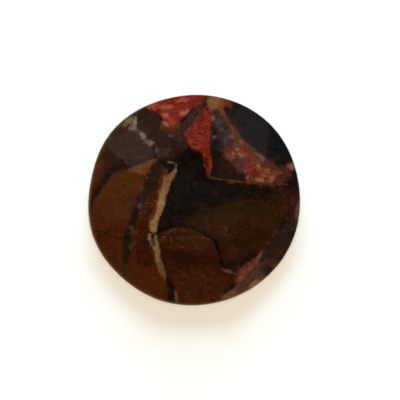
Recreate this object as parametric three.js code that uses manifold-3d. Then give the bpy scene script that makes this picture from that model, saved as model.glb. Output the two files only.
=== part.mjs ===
// A loose round of polychrome jasper, cut and polished by hand.
//
// The stone is one natural piece. A lapidary has sawn a disc, ground flat facets over its top around
// an eight-sided table, and left the back flat with a small bevel, so the stone lies on its back.
//
// Millimetres, +Z up. The origin is on the flat back, under the middle of the stone. Azimuths are in
// degrees, counter-clockwise from +X as seen from above, with +X to the right and +Y to the far side.

import * as THREE from 'three';
import { mergeVertices } from 'three/addons/utils/BufferGeometryUtils.js';
import Module from 'manifold-3d';

// The disc that the facets are ground on
const STONE_RADIUS = 10.0;
const STONE_HEIGHT = 5.2;
const OUTLINE_STEPS = 180;

// The hand-ground edge strays from a true circle in a few slow waves
const OUTLINE_WAVES = [
  { lobes: 2, height: 0.056, crestAt: 21 },
  { lobes: 4, height: 0.052, crestAt: 46 },
  { lobes: 5, height: 0.038, crestAt: -17 },
  { lobes: 6, height: 0.030, crestAt: 21 },
  { lobes: 7, height: 0.019, crestAt: -12 },
];

// The back: flat, with its sharp edge ground off
const BEVEL_WIDTH = 0.7;
const BEVEL_HEIGHT = 0.6;

// Each facet of the top is a plane that drops outward from the height of the table. Azimuth is the
// way it faces, tilt is its slope, and reach is how far from the axis its plane leaves table height.
const MAIN_FACETS = [
  { azimuth: 130, tilt: 26.0, reach: 5.12 },
  { azimuth: 120, tilt: 24.5, reach: 4.97 },
  { azimuth: 88, tilt: 27.0, reach: 4.72 },
  { azimuth: 45, tilt: 26.0, reach: 4.84 },
  { azimuth: 0, tilt: 28.0, reach: 4.57 },
  { azimuth: -42, tilt: 27.0, reach: 4.81 },
  { azimuth: -90, tilt: 28.0, reach: 4.85 },
  { azimuth: -135, tilt: 27.0, reach: 4.95 },
  { azimuth: 172.5, tilt: 30.0, reach: 5.38 },
];

// Small triangles nick the corners where two main facets meet the table
const STAR_TILT = 21;
const STAR_NICK = 0.19;
const STAR_AZIMUTHS = [104, 66, 22, -21, -66, -112, -161];

// Steeper, narrow facets run round the rim
const RIM_FACETS = [
  { azimuth: 128, tilt: 36, reach: 6.38 },
  { azimuth: 88, tilt: 37, reach: 6.00 },
  { azimuth: 22.5, tilt: 38, reach: 6.02 },
  { azimuth: -42, tilt: 40, reach: 6.04 },
  { azimuth: -90, tilt: 38, reach: 6.35 },
  { azimuth: -135, tilt: 39, reach: 6.25 },
  { azimuth: 178, tilt: 39, reach: 6.45 },
];

const wasm = await Module();
wasm.setup();

// Turns a closed three.js geometry into a solid that can be cut and joined
function toSolid(geometry) {
  const bare = geometry.clone();
  bare.deleteAttribute('normal');
  bare.deleteAttribute('uv');
  const merged = mergeVertices(bare, 1e-5);
  const mesh = new wasm.Mesh({
    numProp: 3,
    vertProperties: new Float32Array(merged.attributes.position.array),
    triVerts: new Uint32Array(merged.index.array),
  });
  return new wasm.Manifold(mesh);
}

// Turns a finished solid back into a three.js geometry with flat faces
function toGeometry(solid) {
  const mesh = solid.getMesh();
  const geometry = new THREE.BufferGeometry();
  geometry.setAttribute('position', new THREE.BufferAttribute(new Float32Array(mesh.vertProperties), 3));
  geometry.setIndex(new THREE.BufferAttribute(new Uint32Array(mesh.triVerts), 1));
  return geometry;
}

// Radius of the stone's outline at an azimuth given in radians
function outlineRadius(angle) {
  const wave = ({ lobes, height, crestAt }) => {
    return height * Math.cos(lobes * (angle - THREE.MathUtils.degToRad(crestAt)));
  };
  return STONE_RADIUS + OUTLINE_WAVES.reduce((sum, item) => sum + wave(item), 0);
}

// The sawn disc, with the stone's outline and an upright wall
function makeDisc() {
  const outline = [];
  for (let step = 0; step < OUTLINE_STEPS; step += 1) {
    const angle = (2 * Math.PI * step) / OUTLINE_STEPS;
    const radius = outlineRadius(angle);
    outline.push(new THREE.Vector2(radius * Math.cos(angle), radius * Math.sin(angle)));
  }
  return new THREE.ExtrudeGeometry(new THREE.Shape(outline), {
    depth: STONE_HEIGHT,
    bevelEnabled: false,
  });
}

// A round envelope that leaves a bevel round the flat back where the disc is cut down to it
function makeBackEnvelope() {
  const slope = BEVEL_WIDTH / BEVEL_HEIGHT;
  const clear = 2 * BEVEL_HEIGHT;
  const baseRadius = STONE_RADIUS - BEVEL_WIDTH;
  const profile = [
    new THREE.Vector2(0, 0),
    new THREE.Vector2(baseRadius, 0),
    new THREE.Vector2(baseRadius + clear * slope, clear),
    new THREE.Vector2(baseRadius + clear * slope, STONE_HEIGHT + clear),
    new THREE.Vector2(0, STONE_HEIGHT + clear),
  ];
  const envelope = new THREE.LatheGeometry(profile, OUTLINE_STEPS);
  envelope.rotateX(Math.PI / 2);
  return envelope;
}

// A block whose flat underside is the plane of one facet: what it covers is ground away
function makeGrinding({ azimuth, tilt, reach }) {
  const size = 6 * STONE_RADIUS;
  const block = new THREE.BoxGeometry(size, size, size);
  block.translate(0, 0, size / 2);
  block.rotateY(THREE.MathUtils.degToRad(tilt));
  block.translate(reach, 0, STONE_HEIGHT);
  block.rotateZ(THREE.MathUtils.degToRad(azimuth));
  return block;
}

// Where the edges of two neighbouring main facets meet at table height, in polar form
function tableCorner(first, second) {
  const a = THREE.MathUtils.degToRad(first.azimuth);
  const b = THREE.MathUtils.degToRad(second.azimuth);
  const turn = Math.sin(b - a);
  const x = (first.reach * Math.sin(b) - second.reach * Math.sin(a)) / turn;
  const y = (second.reach * Math.cos(a) - first.reach * Math.cos(b)) / turn;
  return { azimuth: Math.atan2(y, x), radius: Math.hypot(x, y) };
}

// The star facet near a given azimuth, nicking the table corner that it faces
function makeStar(azimuth) {
  const away = (facet) => {
    return Math.abs(THREE.MathUtils.euclideanModulo(facet.azimuth - azimuth + 180, 360) - 180);
  };
  const [first, second] = [...MAIN_FACETS].sort((p, q) => away(p) - away(q));
  const corner = tableCorner(first, second);
  const turn = corner.azimuth - THREE.MathUtils.degToRad(azimuth);
  return { azimuth, tilt: STAR_TILT, reach: corner.radius * Math.cos(turn) - STAR_NICK };
}

function makeStone() {
  const facets = [...MAIN_FACETS, ...STAR_AZIMUTHS.map(makeStar), ...RIM_FACETS];
  let solid = toSolid(makeDisc()).intersect(toSolid(makeBackEnvelope()));
  for (const facet of facets) {
    solid = solid.subtract(toSolid(makeGrinding(facet)));
  }
  const geometry = toGeometry(solid);
  geometry.computeBoundingBox();
  const middle = geometry.boundingBox.getCenter(new THREE.Vector3());
  geometry.translate(-middle.x, -middle.y, 0);
  return geometry;
}

const jasper = new THREE.MeshStandardMaterial({
  color: new THREE.Color(0x3a1e12),
  roughness: 0.2,
  metalness: 0,
  flatShading: true,
});

const stone = new THREE.Mesh(makeStone(), jasper);
stone.name = 'stone';

const part = new THREE.Group();
part.add(stone);

export default part;
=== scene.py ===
"""The looks of a loose round of polychrome jasper: one cut and polished stone on a pale table, seen
straight from above. Positions and sizes of the stone are in millimetres until a mesh is made."""

import math

import bpy
import numpy as np
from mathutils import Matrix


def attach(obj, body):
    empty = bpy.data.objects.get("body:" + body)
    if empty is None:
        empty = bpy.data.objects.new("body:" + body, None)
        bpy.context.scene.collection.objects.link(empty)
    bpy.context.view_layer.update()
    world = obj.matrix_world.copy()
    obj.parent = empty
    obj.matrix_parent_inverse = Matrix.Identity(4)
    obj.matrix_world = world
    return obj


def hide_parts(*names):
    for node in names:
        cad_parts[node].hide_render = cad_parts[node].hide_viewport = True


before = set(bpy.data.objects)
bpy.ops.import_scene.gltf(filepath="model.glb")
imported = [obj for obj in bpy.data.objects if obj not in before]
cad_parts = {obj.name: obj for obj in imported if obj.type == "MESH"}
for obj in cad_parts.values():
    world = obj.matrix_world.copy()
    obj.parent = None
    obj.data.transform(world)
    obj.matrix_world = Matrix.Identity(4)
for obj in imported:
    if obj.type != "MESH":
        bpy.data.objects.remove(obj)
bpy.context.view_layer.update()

# The camera looks straight down on the stone from 40 cm. It stands half a millimetre to the right of
# the stone's middle, and its lens takes in a square of 37.7 mm at the height of the stone's outline.
MM = 0.001
CAMERA_PLACE = (0.552, 0.005, 402.0)
OUTLINE_HEIGHT = 2.0
FIELD_WIDTH = 37.72
SENSOR_WIDTH = 36.0

camera_data = bpy.data.cameras.new("camera")
camera_data.sensor_width = SENSOR_WIDTH
camera_data.lens = SENSOR_WIDTH * (CAMERA_PLACE[2] - OUTLINE_HEIGHT) / FIELD_WIDTH
camera_data.clip_start = 0.01
camera_data.clip_end = 10.0
camera = bpy.data.objects.new("camera", camera_data)
camera.location = [MM * value for value in CAMERA_PLACE]
bpy.context.scene.collection.objects.link(camera)
bpy.context.scene.camera = camera

# The stone lies on a plain white sheet. A warm lamp hangs straight over it, and a wide, cooler window
# stands beyond its far side, so the only shadow is a soft warm one on the near side. The room's walls
# are dim above, and four paler patches on them are what the polished facets mirror.
FLOOR_HALF = 1500.0
FLOOR_COLOUR = (0.85, 0.85, 0.85)
LAMP_COLOUR = (1.0, 0.865, 0.685)
LAMP_STRENGTH = 2.92
LAMP_SPREAD = 12.0
WINDOW_COLOUR = (0.46, 0.75, 1.0)
WINDOW_STRENGTH = 4.8
WINDOW_DISTANCE = 700.0
WINDOW_ELEVATION = 36.0
WINDOW_SIZE = (500.0, 460.0)
ROOM_DIM = 0.012
ROOM_PALE = 0.75
PALE_BELOW = 0.09
# azimuth and elevation of each patch's middle, its half width in degrees, and its brightness
WALL_PATCHES = {
    "left wall": (141.0, 38.0, 13.0, 0.265),
    "right wall": (48.0, 38.0, 18.0, 0.21),
    "far wall": (88.0, 34.0, 12.0, 0.06),
    "near corner": (-42.0, 7.0, 13.0, 0.02),
}

corners = [(-1, -1), (1, -1), (1, 1), (-1, 1)]
floor_mesh = bpy.data.meshes.new("floor")
floor_corners = [(MM * FLOOR_HALF * x, MM * FLOOR_HALF * y, 0.0) for x, y in corners]
floor_mesh.from_pydata(floor_corners, [], [(0, 1, 2, 3)])
floor_finish = bpy.data.materials.new("white_sheet")
floor_finish.use_nodes = True
sheet = floor_finish.node_tree.nodes["Principled BSDF"]
sheet.inputs["Base Color"].default_value = (*FLOOR_COLOUR, 1.0)
sheet.inputs["Roughness"].default_value = 0.9
sheet.inputs["Specular IOR Level"].default_value = 0.0
floor_mesh.materials.append(floor_finish)
floor = bpy.data.objects.new("floor", floor_mesh)
bpy.context.scene.collection.objects.link(floor)


def direction(azimuth, elevation):
    """The unit vector that points to an azimuth, counter-clockwise from +X, and an elevation, in degrees."""
    a, e = math.radians(azimuth), math.radians(elevation)
    return np.array([math.cos(a) * math.cos(e), math.sin(a) * math.cos(e), math.sin(e)])


lamp_data = bpy.data.lights.new("lamp", "SUN")
lamp_data.energy = LAMP_STRENGTH
lamp_data.color = LAMP_COLOUR
lamp_data.angle = math.radians(LAMP_SPREAD)
lamp = bpy.data.objects.new("lamp", lamp_data)
lamp.visible_glossy = False

window_data = bpy.data.lights.new("window", "AREA")
window_data.shape = "RECTANGLE"
window_data.size, window_data.size_y = [MM * value for value in WINDOW_SIZE]
window_data.energy = WINDOW_STRENGTH
window_data.color = WINDOW_COLOUR
window = bpy.data.objects.new("window", window_data)
toward = direction(90.0, WINDOW_ELEVATION)
window.location = [float(MM * WINDOW_DISTANCE * value) for value in toward]
window.rotation_euler = (math.radians(WINDOW_ELEVATION - 90.0), 0.0, 0.0)
window.visible_glossy = False
for light in (lamp, window):
    bpy.context.scene.collection.objects.link(light)

room = bpy.data.worlds.new("room")
bpy.context.scene.world = room
room.use_nodes = True
nodes, links = room.node_tree.nodes, room.node_tree.links
look = nodes.new("ShaderNodeTexCoord").outputs["Generated"]
split = nodes.new("ShaderNodeSeparateXYZ")
links.new(look, split.inputs["Vector"])
glow = nodes.new("ShaderNodeMapRange")
glow.interpolation_type = "SMOOTHSTEP"
glow.inputs["From Min"].default_value = 0.0
glow.inputs["From Max"].default_value = PALE_BELOW
glow.inputs["To Min"].default_value = ROOM_PALE
glow.inputs["To Max"].default_value = ROOM_DIM
links.new(split.outputs["Z"], glow.inputs["Value"])
total = glow.outputs["Result"]
for label, (azimuth, elevation, half_width, brightness) in WALL_PATCHES.items():
    # the patch fades as a bell: exp(-(angle / half_width)^2 / 2), written as a power of the cosine
    dot = nodes.new("ShaderNodeVectorMath")
    dot.operation = "DOT_PRODUCT"
    dot.inputs[1].default_value = direction(azimuth, elevation)
    links.new(look, dot.inputs[0])
    above = nodes.new("ShaderNodeMath")
    above.operation = "MAXIMUM"
    above.inputs[1].default_value = 0.0
    links.new(dot.outputs["Value"], above.inputs[0])
    bell = nodes.new("ShaderNodeMath")
    bell.operation = "POWER"
    bell.inputs[1].default_value = 1.0 / math.radians(half_width) ** 2
    links.new(above.outputs["Value"], bell.inputs[0])
    patch = nodes.new("ShaderNodeMath")
    patch.label = label
    patch.operation = "MULTIPLY_ADD"
    patch.inputs[1].default_value = brightness
    links.new(bell.outputs["Value"], patch.inputs[0])
    links.new(total, patch.inputs[2])
    total = patch.outputs["Value"]
links.new(total, nodes["Background"].inputs["Color"])
bpy.context.scene.view_settings.view_transform = "Standard"

# The stone is one piece of brecciated jasper. It was sawn as a disc, its facets were ground flat and
# polished over the top, which rounds their edges a little, and its back was left ground and bevelled.
SECTORS = 600
TOP_RINGS = 97
CORNER_RINGS = 6
WALL_RINGS = 14
BEVEL_RINGS = 6
BACK_RINGS = 22
PAD_REACH = 0.2
CORNER_ROUND = 0.07
INSET = 0.008
UP_FACING = 0.3
SAME_SLOPE = 0.03
# where the solid's corners lie, as shares of its radius or height: at the rim, low on it, at the back
RIM_FROM = 0.95
LOW_UNDER = 0.25
BACK_FROM = 0.85
BACK_LEVEL = 0.01

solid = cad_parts["stone"].data
points = np.empty(len(solid.vertices) * 3, np.float32)
solid.vertices.foreach_get("co", points)
points = points.reshape(-1, 3).astype(float) / MM
triangles = np.empty(len(solid.loops), np.int32)
solid.loops.foreach_get("vertex_index", triangles)
triangles = triangles.reshape(-1, 3)


def facet_planes(points, triangles):
    """The flat faces of the solid's top as rows (a, b, c) of z = a x + b y + c, one row for each slope
    that its upward triangles have."""
    p, q, r = (points[triangles[:, k]] for k in range(3))
    normal = np.cross(q - p, r - p)
    size = np.linalg.norm(normal, axis=1)
    upward = normal[:, 2] > UP_FACING * size
    normal, p = normal[upward], p[upward]
    a, b = (-normal[:, k] / normal[:, 2] for k in (0, 1))
    c = p[:, 2] - a * p[:, 0] - b * p[:, 1]
    planes = []
    for row in np.stack([a, b, c], 1)[np.argsort(-size[upward])]:
        if all(np.abs(row[:2] - other[:2]).max() > SAME_SLOPE for other in planes):
            planes.append(row)
    return planes


PLANES = facet_planes(points, triangles)


def top_height(x, y):
    """The lowest facet plane over a point, averaged over the point and two small rings round it, as a
    polishing pad averages over its reach. A mean of lowest planes never rises above the planes."""
    height = np.min([a * x + b * y + c for a, b, c in PLANES], axis=0)
    total, weight = 2.0 * height, 2.0
    for reach, count in ((PAD_REACH, 8), (0.5 * PAD_REACH, 6)):
        for step in range(count):
            turn = 2.0 * math.pi * (step + 0.5) / count
            u, v = x + reach * math.cos(turn), y + reach * math.sin(turn)
            total = total + np.min([a * u + b * v + c for a, b, c in PLANES], axis=0)
            weight += 1.0
    return total / weight


def around(vertices, values, turn):
    """Values given at some vertices, as a function of the azimuth, straight between neighbours."""
    angle = np.arctan2(vertices[:, 1], vertices[:, 0])
    order = np.argsort(angle)
    return np.interp(turn, angle[order], values[order], period=2.0 * math.pi)


radius = np.hypot(points[:, 0], points[:, 1])
height = points[:, 2].max()
outer = radius > RIM_FROM * radius.max()
lower_rim = points[outer & (points[:, 2] > BACK_LEVEL) & (points[:, 2] < LOW_UNDER * height)]
back_rim = points[(points[:, 2] < BACK_LEVEL) & (radius > BACK_FROM * radius.max())]

turn = np.linspace(0.0, 2.0 * math.pi, SECTORS, endpoint=False)
rim = around(lower_rim, np.hypot(lower_rim[:, 0], lower_rim[:, 1]), turn) - INSET
foot = around(back_rim, np.hypot(back_rim[:, 0], back_rim[:, 1]), turn) - INSET
ledge = around(lower_rim, lower_rim[:, 2], turn)


def stone_profile(turn, rim, foot, ledge):
    """The stone's section at each azimuth, from the middle of the table out to the rim, down the wall and
    the bevel, and back under the stone to the middle: rows of radii and of heights.
    The rim's edge drops by c (1 - sqrt(1 - q^2)) over its last c mm, a quarter of a circle."""
    cos, sin = np.cos(turn), np.sin(turn)
    radii, heights = [], []
    for step in range(1, TOP_RINGS + 1):
        reach = (rim - CORNER_ROUND) * step / TOP_RINGS
        radii.append(reach)
        heights.append(top_height(reach * cos, reach * sin))
    for step in range(1, CORNER_RINGS + 1):
        bend = 0.5 * math.pi * step / CORNER_RINGS
        reach = rim - CORNER_ROUND * (1.0 - math.sin(bend))
        radii.append(reach)
        heights.append(top_height(reach * cos, reach * sin) - CORNER_ROUND * (1.0 - math.cos(bend)))
    shoulder = heights[-1]
    for step in range(1, WALL_RINGS + 1):
        share = step / WALL_RINGS
        radii.append(rim)
        heights.append(shoulder + share * (ledge - shoulder))
    for step in range(1, BEVEL_RINGS + 1):
        share = step / BEVEL_RINGS
        radii.append(rim + share * (foot - rim))
        heights.append(ledge * (1.0 - share))
    for step in range(1, BACK_RINGS + 1):
        radii.append(foot * (1.0 - step / (BACK_RINGS + 1)))
        heights.append(np.zeros(SECTORS))
    return np.array(radii), np.array(heights)


radii, heights = stone_profile(turn, rim, foot, ledge)
rings = len(radii)
place = np.empty((rings * SECTORS + 2, 3))
place[:-2, 0] = (radii * np.cos(turn)).ravel()
place[:-2, 1] = (radii * np.sin(turn)).ravel()
place[:-2, 2] = heights.ravel()
place[-2] = (0.0, 0.0, height)
place[-1] = (0.0, 0.0, 0.0)

ring, sector = np.meshgrid(np.arange(rings - 1), np.arange(SECTORS), indexing="ij")
after = (sector + 1) % SECTORS
quads = np.stack(
    [
        ring * SECTORS + sector,
        (ring + 1) * SECTORS + sector,
        (ring + 1) * SECTORS + after,
        ring * SECTORS + after,
    ],
    axis=-1,
).reshape(-1, 4)
here = np.arange(SECTORS)
following = (here + 1) % SECTORS
last = (rings - 1) * SECTORS
cap = np.stack([np.full(SECTORS, rings * SECTORS), here, following], axis=1)
base = np.stack([np.full(SECTORS, rings * SECTORS + 1), last + following, last + here], axis=1)

stone_mesh = bpy.data.meshes.new("jasper_round")
stone_mesh.from_pydata(place * MM, [], quads.tolist() + cap.tolist() + base.tolist())
stone_mesh.polygons.foreach_set("use_smooth", np.ones(len(stone_mesh.polygons), bool))
stone_mesh.update()

# The rock's pattern, as it lies on the top of the stone. Each marking is given by points in millimetres,
# +X to the right and +Y to the far side, and is kept on the mesh as the signed distance to its edge.
# Below the top the pattern leans inwards and wanders, so the wall and the back cut it elsewhere.
LEAN = (0.24, -0.15)
DRAW_IN = 0.045
WANDER = 0.16
FAR = 1.5

depth = np.maximum(top_height(place[:, 0], place[:, 1]) - place[:, 2], 0.0)
wander_x = np.sin(1.3 * place[:, 1] + 2.1 * place[:, 2]) + np.sin(0.7 * place[:, 0] - 1.7 * place[:, 2])
wander_y = np.sin(1.1 * place[:, 0] + 1.9 * place[:, 2]) + np.sin(0.8 * place[:, 1] + 2.6 * place[:, 2])
PATTERN = np.stack(
    [
        place[:, 0] * (1.0 - DRAW_IN * depth) + depth * (LEAN[0] + WANDER * wander_x),
        place[:, 1] * (1.0 - DRAW_IN * depth) + depth * (LEAN[1] + WANDER * wander_y),
    ],
    axis=1,
)


def flowing(rows, closed, steps=5):
    """Rows of numbers, smoothed to a flowing line through all of them: the Catmull-Rom cubic of each
    four rows in turn, cut into equal steps."""
    rows = np.array(rows, float)
    if closed:
        rows = np.vstack([rows[-1:], rows, rows[:2]])
    else:
        rows = np.vstack([2.0 * rows[:1] - rows[1:2], rows, 2.0 * rows[-1:] - rows[-2:-1]])
    before, start, end, after = (rows[k : len(rows) - 3 + k, None, :] for k in range(4))
    t = (np.arange(steps) / steps)[None, :, None]
    curve = start + 0.5 * t * (
        end - before
        + t * (2.0 * before - 5.0 * start + 4.0 * end - after + t * (3.0 * (start - end) + after - before))
    )
    curve = curve.reshape(-1, rows.shape[1])
    return curve if closed else np.vstack([curve, rows[-2:-1]])


def near(points, reach):
    """Which vertices lie within reach of the box round some points of the pattern."""
    low, high = points.min(0) - reach, points.max(0) + reach
    return np.all((PATTERN > low) & (PATTERN < high), axis=1)


def inside(outline, smooth=True):
    """Distance in mm to a closed outline, positive inside it: the least distance to its sides, with its
    sign from how many sides a line to the right of the vertex crosses."""
    line = flowing(outline, True) if smooth else np.array(outline, float)
    close = near(line, FAR)
    x, y = PATTERN[close].T
    least, within = np.full(len(x), FAR), np.zeros(len(x), bool)
    for (x0, y0), (x1, y1) in zip(line, np.roll(line, -1, axis=0)):
        dx, dy = x1 - x0, y1 - y0
        share = np.clip(((x - x0) * dx + (y - y0) * dy) / (dx * dx + dy * dy + 1e-12), 0.0, 1.0)
        least = np.minimum(least, np.hypot(x - x0 - share * dx, y - y0 - share * dy))
        if y0 != y1:
            within ^= ((y0 > y) != (y1 > y)) & (x < x0 + (y - y0) * dx / dy)
    distance = np.full(len(PATTERN), -FAR)
    distance[close] = np.where(within, least, -least)
    return distance


def along(path):
    """Distance in mm to the edge of a vein, positive inside it: the vein's half width, which changes
    from point to point (x, y, half width), less the distance to its middle line."""
    line = flowing(path, False)
    close = near(line[:, :2], FAR)
    x, y = PATTERN[close].T
    best = np.full(len(x), -FAR)
    for (x0, y0, w0), (x1, y1, w1) in zip(line[:-1], line[1:]):
        dx, dy = x1 - x0, y1 - y0
        share = np.clip(((x - x0) * dx + (y - y0) * dy) / (dx * dx + dy * dy + 1e-12), 0.0, 1.0)
        away = np.hypot(x - x0 - share * dx, y - y0 - share * dy)
        best = np.maximum(best, w0 + share * (w1 - w0) - away)
    distance = np.full(len(PATTERN), -FAR)
    distance[close] = best
    return distance


def spots(*ovals):
    """Distance in mm to the edge of the nearest oval. An oval is (x, y, half length, half width, turn in
    degrees), and r is the vertex's distance from its middle in half lengths and half widths. Inside, the
    distance is the half width times 1 - r, and outside it is how far the edge falls short, |p| (1/r - 1)."""
    best = np.full(len(PATTERN), -FAR)
    for x0, y0, long, wide, turn in ovals:
        cos, sin = math.cos(math.radians(turn)), math.sin(math.radians(turn))
        u = (PATTERN[:, 0] - x0) * cos + (PATTERN[:, 1] - y0) * sin
        v = (PATTERN[:, 1] - y0) * cos - (PATTERN[:, 0] - x0) * sin
        r = np.hypot(u / long, v / wide)
        short = np.hypot(u, v) * (1.0 / np.maximum(r, 1.0) - 1.0)
        best = np.maximum(best, np.where(r < 1.0, wide * (1.0 - r), short))
    return best


# The rock's colours under an opaque gloss. Noise at six sizes of grain wavers the edges of the markings
# and mixes the two tones that most of them have. A tone is red, green and blue from 0 to 255.
jasper = bpy.data.materials.new("polished_jasper")
jasper.use_nodes = True
nodes, links = jasper.node_tree.nodes, jasper.node_tree.links
surface = nodes["Principled BSDF"]
on_stone = nodes.new("ShaderNodeTexCoord").outputs["Object"]


def grain(label, size, detail, contrast, stretch=(1.0, 1.0, 1.0)):
    """Three noises of one grain size in mm, spread by contrast about a half: sockets of 0 to 1."""
    place = nodes.new("ShaderNodeMapping")
    place.inputs["Scale"].default_value = [share / (MM * size) for share in stretch]
    links.new(on_stone, place.inputs["Vector"])
    noise = nodes.new("ShaderNodeTexNoise")
    noise.label = label
    noise.inputs["Scale"].default_value = 1.0
    noise.inputs["Detail"].default_value = detail
    noise.inputs["Roughness"].default_value = 0.6
    links.new(place.outputs["Vector"], noise.inputs["Vector"])
    channels = nodes.new("ShaderNodeSeparateColor")
    links.new(noise.outputs["Color"], channels.inputs["Color"])
    results = []
    for channel in ("Red", "Green", "Blue"):
        spread = nodes.new("ShaderNodeMapRange")
        spread.interpolation_type = "SMOOTHSTEP"
        spread.clamp = False
        spread.inputs["From Min"].default_value = 0.5 - 0.5 / contrast
        spread.inputs["From Max"].default_value = 0.5 + 0.5 / contrast
        links.new(channels.outputs[channel], spread.inputs["Value"])
        results.append(spread.outputs["Result"])
    return results


BROAD = grain("broad", 1.9, 2.0, 2.6)
PATCHY = grain("patchy", 0.62, 3.0, 2.4)
FINE = grain("fine", 0.24, 2.0, 2.2)
STREAKY = grain("streaky", 0.9, 3.0, 2.4, (0.35, 1.6, 1.0))
WAVER = grain("waver", 0.55, 4.0, 1.6)
GRIT = grain("grit", 0.15, 1.0, 2.0)

edge = bpy.data.node_groups.new("marking_edge", "ShaderNodeTree")
for name, in_out, default in (
    ("Distance", "INPUT", 0.0),
    ("Waver", "INPUT", 0.0),
    ("Ragged", "INPUT", 0.1),
    ("Soft", "INPUT", 0.05),
    ("Strength", "INPUT", 1.0),
    ("Mask", "OUTPUT", 0.0),
):
    socket = edge.interface.new_socket(name=name, in_out=in_out, socket_type="NodeSocketFloat")
    socket.default_value = default
group_in, group_out = edge.nodes.new("NodeGroupInput"), edge.nodes.new("NodeGroupOutput")


def reckon(tree, operation, *values):
    """One Math node in a tree, fed with sockets or plain numbers: its result."""
    step = tree.nodes.new("ShaderNodeMath")
    step.operation = operation
    for socket, value in zip(step.inputs, values):
        if isinstance(value, bpy.types.NodeSocket):
            tree.links.new(value, socket)
        else:
            socket.default_value = value
    return step.outputs["Value"]


shifted = reckon(
    edge, "MULTIPLY_ADD", group_in.outputs["Waver"], group_in.outputs["Ragged"], group_in.outputs["Distance"]
)
share = reckon(edge, "DIVIDE", shifted, group_in.outputs["Soft"])
fade = edge.nodes.new("ShaderNodeMapRange")
fade.interpolation_type = "SMOOTHSTEP"
fade.clamp = False
fade.inputs["From Min"].default_value = -1.0
edge.links.new(share, fade.inputs["Value"])
mask = reckon(edge, "MULTIPLY", fade.outputs["Result"], group_in.outputs["Strength"])
edge.links.new(mask, group_out.inputs["Mask"])
# every edge fades over this many mm more than its marking says, as the grains of the rock interlock
BLEED = 0.05
TREMBLE = reckon(jasper.node_tree, "SUBTRACT", WAVER[0], 0.5)


def rgb(tone):
    """A colour as red, green and blue from 0 to 255, in the linear values that a shader takes."""
    share = np.array(tone, float) / 255.0
    linear = np.where(share <= 0.04045, share / 12.92, ((share + 0.055) / 1.055) ** 2.4)
    return (*linear, 1.0)


def mix(factor, first, second):
    """Two colours mixed by a factor, each a socket or a tone from 0 to 255: the mixed colour."""
    step = nodes.new("ShaderNodeMix")
    step.data_type = "RGBA"
    links.new(factor, step.inputs["Factor"])
    for socket, value in ((step.inputs[6], first), (step.inputs[7], second)):
        if isinstance(value, bpy.types.NodeSocket):
            links.new(value, socket)
        else:
            socket.default_value = rgb(value)
    return step.outputs[2]


def paint(name, distance, tones, mottle=PATCHY[0], ragged=0.25, soft=0.07, strength=1.0, waver=TREMBLE):
    """Lays one marking over the colours so far. Where its distance, shifted by the waver, is above 0, the
    rock takes its two tones, mixed by a noise, over a fading edge of soft mm."""
    global colour
    layer = stone_mesh.attributes.new(name, "FLOAT", "POINT")
    layer.data.foreach_set("value", distance.astype(np.float32))
    read = nodes.new("ShaderNodeAttribute")
    read.attribute_name = name
    cover = nodes.new("ShaderNodeGroup")
    cover.node_tree = edge
    cover.label = name
    links.new(read.outputs["Fac"], cover.inputs["Distance"])
    links.new(waver, cover.inputs["Waver"])
    cover.inputs["Ragged"].default_value = ragged
    cover.inputs["Soft"].default_value = soft + BLEED
    cover.inputs["Strength"].default_value = strength
    body = mix(mottle, tones[0], tones[1]) if len(tones) > 1 else tones[0]
    colour = mix(cover.outputs["Mask"], colour, body)


# Near-black heart of the stone, which everything else lies in
colour = mix(PATCHY[0], (10, 5, 3), (17, 9, 6))
paint("heart_grey", inside([
    (-1.6, 2.4), (0.2, 2.2), (1.4, 2.0), (3.4, 1.3), (5.6, 1.2), (7.6, 1.2), (7.0, 0.6), (4.8, 0.3),
    (3.0, -0.4), (1.4, -0.6), (0.4, -0.6), (-1.0, -0.9), (-2.4, -1.0), (-2.2, 0.2), (-1.8, 1.4)]),
    ((12, 8, 6), (17, 12, 9)), mottle=PATCHY[2], ragged=0.9, soft=0.5, strength=0.8)
paint("heart_brown", inside([
    (-3.2, -1.6), (-1.8, -1.3), (-0.4, -1.2), (1.2, -1.2), (1.6, -2.0), (0.8, -2.9), (-1.2, -2.3),
    (-3.2, -2.5)]),
    ((22, 11, 5), (16, 8, 4)), mottle=PATCHY[1], ragged=0.7, soft=0.4, strength=0.8)
paint("heart_pale", spots(
    (-1.4, 1.4, 0.28, 0.16, 10), (-0.7, 1.1, 0.14, 0.22, 0), (1.75, 0.45, 0.16, 0.22, 10),
    (0.5, -0.45, 0.5, 0.14, 5), (1.15, -0.45, 0.2, 0.16, 0), (0.9, -0.9, 0.3, 0.16, -10),
    (2.4, -0.6, 0.2, 0.14, 0), (-1.1, 0.2, 0.35, 0.12, -40), (-1.9, -0.7, 0.3, 0.1, -20),
    (2.9, 0.9, 0.3, 0.12, -30)),
    ((27, 20, 15), (22, 16, 11)), mottle=FINE[0], ragged=0.4, soft=0.16, strength=0.75)
paint("heart_red", spots(
    (0.05, 1.45, 0.13, 0.12, 0), (2.0, 1.0, 0.12, 0.1, 0), (2.2, 1.55, 0.2, 0.1, 20),
    (0.95, -0.9, 0.3, 0.12, -20), (-2.0, 1.9, 0.1, 0.3, 20), (-1.65, 2.0, 0.08, 0.16, 0)),
    ((30, 9, 7),), ragged=0.3, soft=0.13, strength=0.8)
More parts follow.
